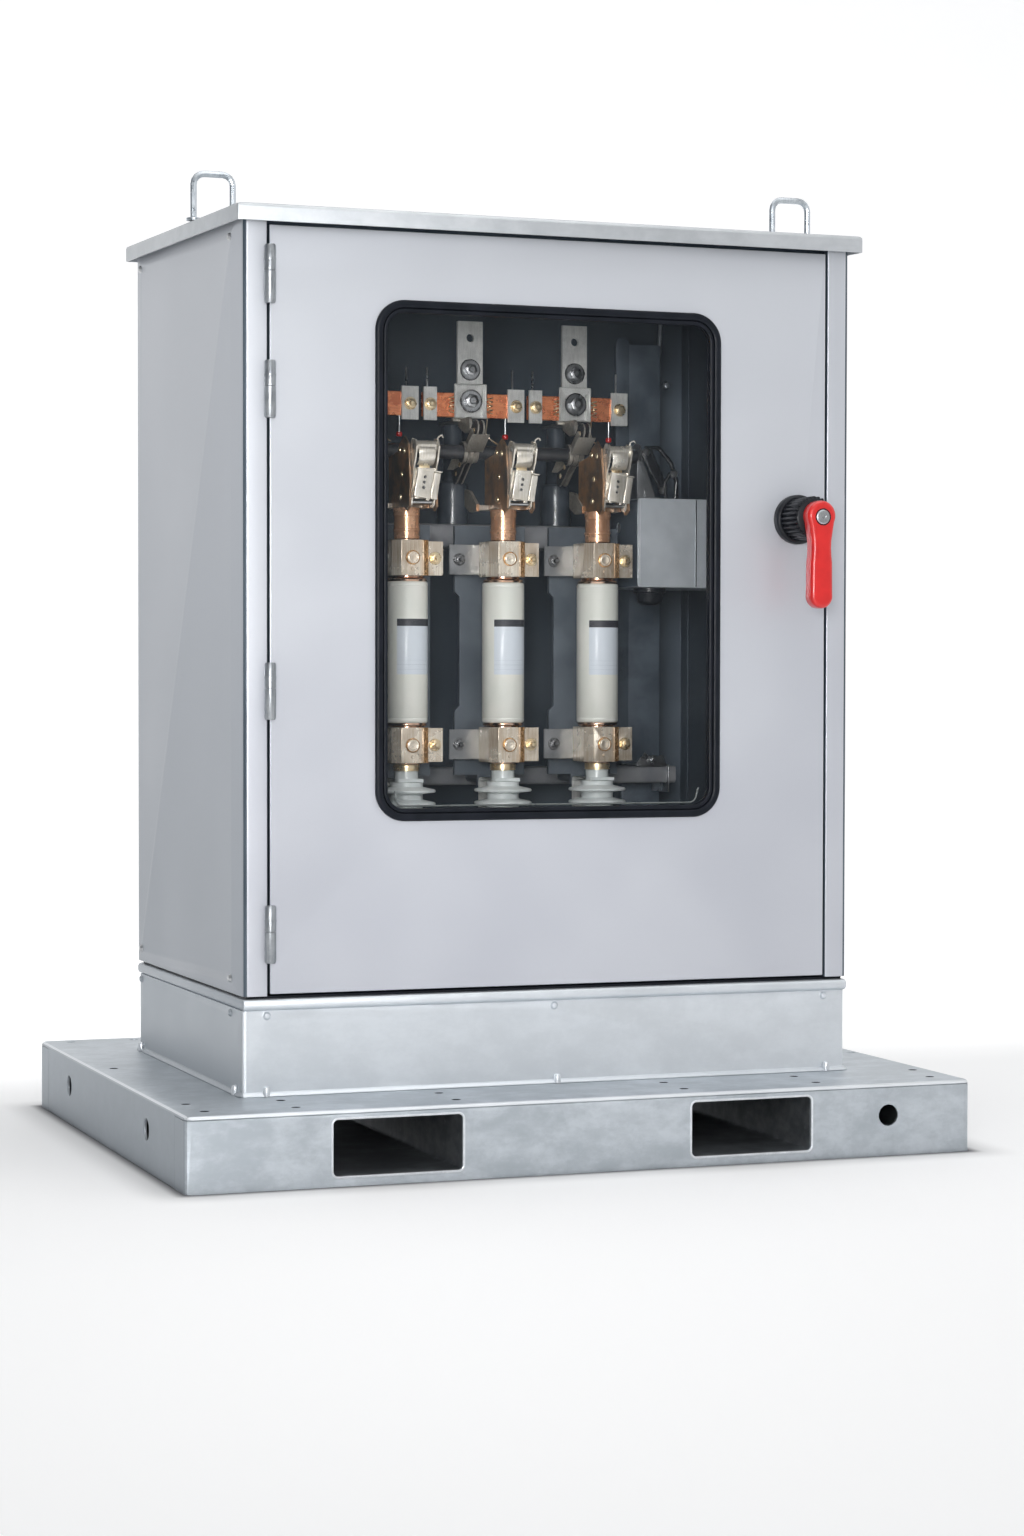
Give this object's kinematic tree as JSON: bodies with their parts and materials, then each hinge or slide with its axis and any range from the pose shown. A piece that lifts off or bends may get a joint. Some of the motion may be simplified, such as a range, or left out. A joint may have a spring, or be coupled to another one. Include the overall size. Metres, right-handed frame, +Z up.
{
  "type": "fused disconnect switch",
  "caption": "Outdoor cabinet on a plinth and fork-lift base, with knife blades, latched fuses and post insulators behind a window and a rotary handle that works the blades.",
  "frame": {"origin": "middle of the footprint, on the ground", "axes": "+Z up, -Y out of the door, +X to the right of someone who faces the door"},
  "size_m": [1.2, 0.951, 1.4548],
  "materials": {
    "galvanised_steel": "hot-dip galvanised",
    "cabinet_sheet": "satin",
    "interior_sheet": "satin",
    "zinc_plated_steel": "zinc plated",
    "black_rubber": "matte",
    "black_plastic": "satin",
    "red_plastic": "gloss",
    "window_glass": "clear",
    "copper": "bright copper",
    "tinned_copper": "tin plated",
    "bright_steel": "bright plated",
    "dark_bronze": "dark satin",
    "fuse_ceramic": "glazed ceramic",
    "pale_resin": "satin",
    "insulating_board": "matte",
    "glass_fibre_rod": "satin",
    "mechanism_paint": "satin"
  },
  "bodies": {
    "cabinet": {"base_deck": "galvanised_steel", "base_front_rail": "galvanised_steel", "base_rear_rail": "galvanised_steel", "fork_tube_left": "galvanised_steel", "fork_tube_right": "galvanised_steel", "plinth_frame": "galvanised_steel", "plinth_cap_frame": "galvanised_steel", "roof": "galvanised_steel", "cabinet_left_panel": "cabinet_sheet", "cabinet_right_panel": "cabinet_sheet", "cabinet_back_panel": "cabinet_sheet", "door_frame": "cabinet_sheet", "cabinet_floor": "interior_sheet", "upright_left": "interior_sheet", "upright_right": "interior_sheet", "upper_rail": "interior_sheet", "lower_rail": "interior_sheet", "insulator_shelf": "interior_sheet", "gland_plate": "zinc_plated_steel", "lifting_eye_left": "zinc_plated_steel", "lifting_eye_right": "zinc_plated_steel", "rotor_bearing_left": "zinc_plated_steel", "rotor_bearing_right": "zinc_plated_steel", "plinth_seal": "black_rubber", "door_seal": "black_rubber", "cable_gland": "black_plastic", "contact_bar_a": "copper", "contact_bar_b": "copper", "contact_bar_c": "copper", "line_bar_a": "tinned_copper", "line_bar_b": "tinned_copper", "line_bar_c": "tinned_copper", "latch_head_a": "dark_bronze", "latch_head_b": "dark_bronze", "latch_head_c": "dark_bronze", "fuse_a": "fuse_ceramic", "fuse_b": "fuse_ceramic", "fuse_c": "fuse_ceramic", "fuse_foot_a": "pale_resin", "fuse_foot_b": "pale_resin", "fuse_foot_c": "pale_resin", "back_board_a": "insulating_board", "back_board_b": "insulating_board", "back_board_c": "insulating_board", "mechanism_housing": "mechanism_paint", "mechanism_cover": "mechanism_paint"},
    "door": {"door_panel": "cabinet_sheet", "window_gasket": "black_rubber", "window_glass": "window_glass", "handle_boss": "black_plastic"},
    "handle": {"handle_knob": "black_plastic", "handle_lever": "red_plastic", "handle_shaft": "zinc_plated_steel"},
    "spindle": {"spindle": "zinc_plated_steel"},
    "output_shaft": {"output_shaft": "zinc_plated_steel"},
    "rotor": {"rotor": "glass_fibre_rod"},
    "drive_link": {"drive_link": "dark_bronze"},
    "latch_a": {"latch_a": "bright_steel"},
    "latch_b": {"latch_b": "bright_steel"},
    "latch_c": {"latch_c": "bright_steel"}
  },
  "joints": [
    {"name": "door", "type": "hinge", "parent": "cabinet", "child": "door", "pos_m": [-0.43625, -0.3213, 0.8], "axis": [0, 0, -1], "range_deg": [0, 120]},
    {"name": "handle_turn", "type": "hinge", "parent": "door", "child": "handle", "pos_m": [0.387, -0.3135, 0.942], "axis": [0, 1, 0], "range_deg": [0, 90]},
    {"name": "spindle_turn", "type": "hinge", "parent": "cabinet", "child": "spindle", "pos_m": [0.387, 0.02, 0.942], "axis": [0, 1, 0], "range_deg": [0, 90]},
    {"name": "output_turn", "type": "hinge", "parent": "cabinet", "child": "output_shaft", "pos_m": [0.387, 0.02, 0.942], "axis": [-1, 0, 0], "range_deg": [0, 54]},
    {"name": "rotor_turn", "type": "hinge", "parent": "cabinet", "child": "rotor", "pos_m": [0, 0.02, 1.055], "axis": [-1, 0, 0], "range_deg": [0, 54]},
    {"name": "link_turn", "type": "hinge", "parent": "output_shaft", "child": "drive_link", "pos_m": [0.243, 0.0396, 0.95199], "axis": [-1, 0, 0], "range_deg": [-54, 0]},
    {"name": "latch_a_open", "type": "hinge", "parent": "cabinet", "child": "latch_a", "pos_m": [-0.133, -0.09, 0.97], "axis": [1, 0, 0], "range_deg": [0, 35]},
    {"name": "latch_b_open", "type": "hinge", "parent": "cabinet", "child": "latch_b", "pos_m": [0.024, -0.09, 0.97], "axis": [1, 0, 0], "range_deg": [0, 35]},
    {"name": "latch_c_open", "type": "hinge", "parent": "cabinet", "child": "latch_c", "pos_m": [0.181, -0.09, 0.97], "axis": [1, 0, 0], "range_deg": [0, 35]}
  ],
  "couplings": [
    {"joint": "spindle_turn", "follows": "handle_turn", "ratio": 1},
    {"joint": "output_turn", "follows": "handle_turn", "ratio": 0.6},
    {"joint": "rotor_turn", "follows": "handle_turn", "ratio": 0.6},
    {"joint": "link_turn", "follows": "handle_turn", "ratio": -0.6}
  ]
}
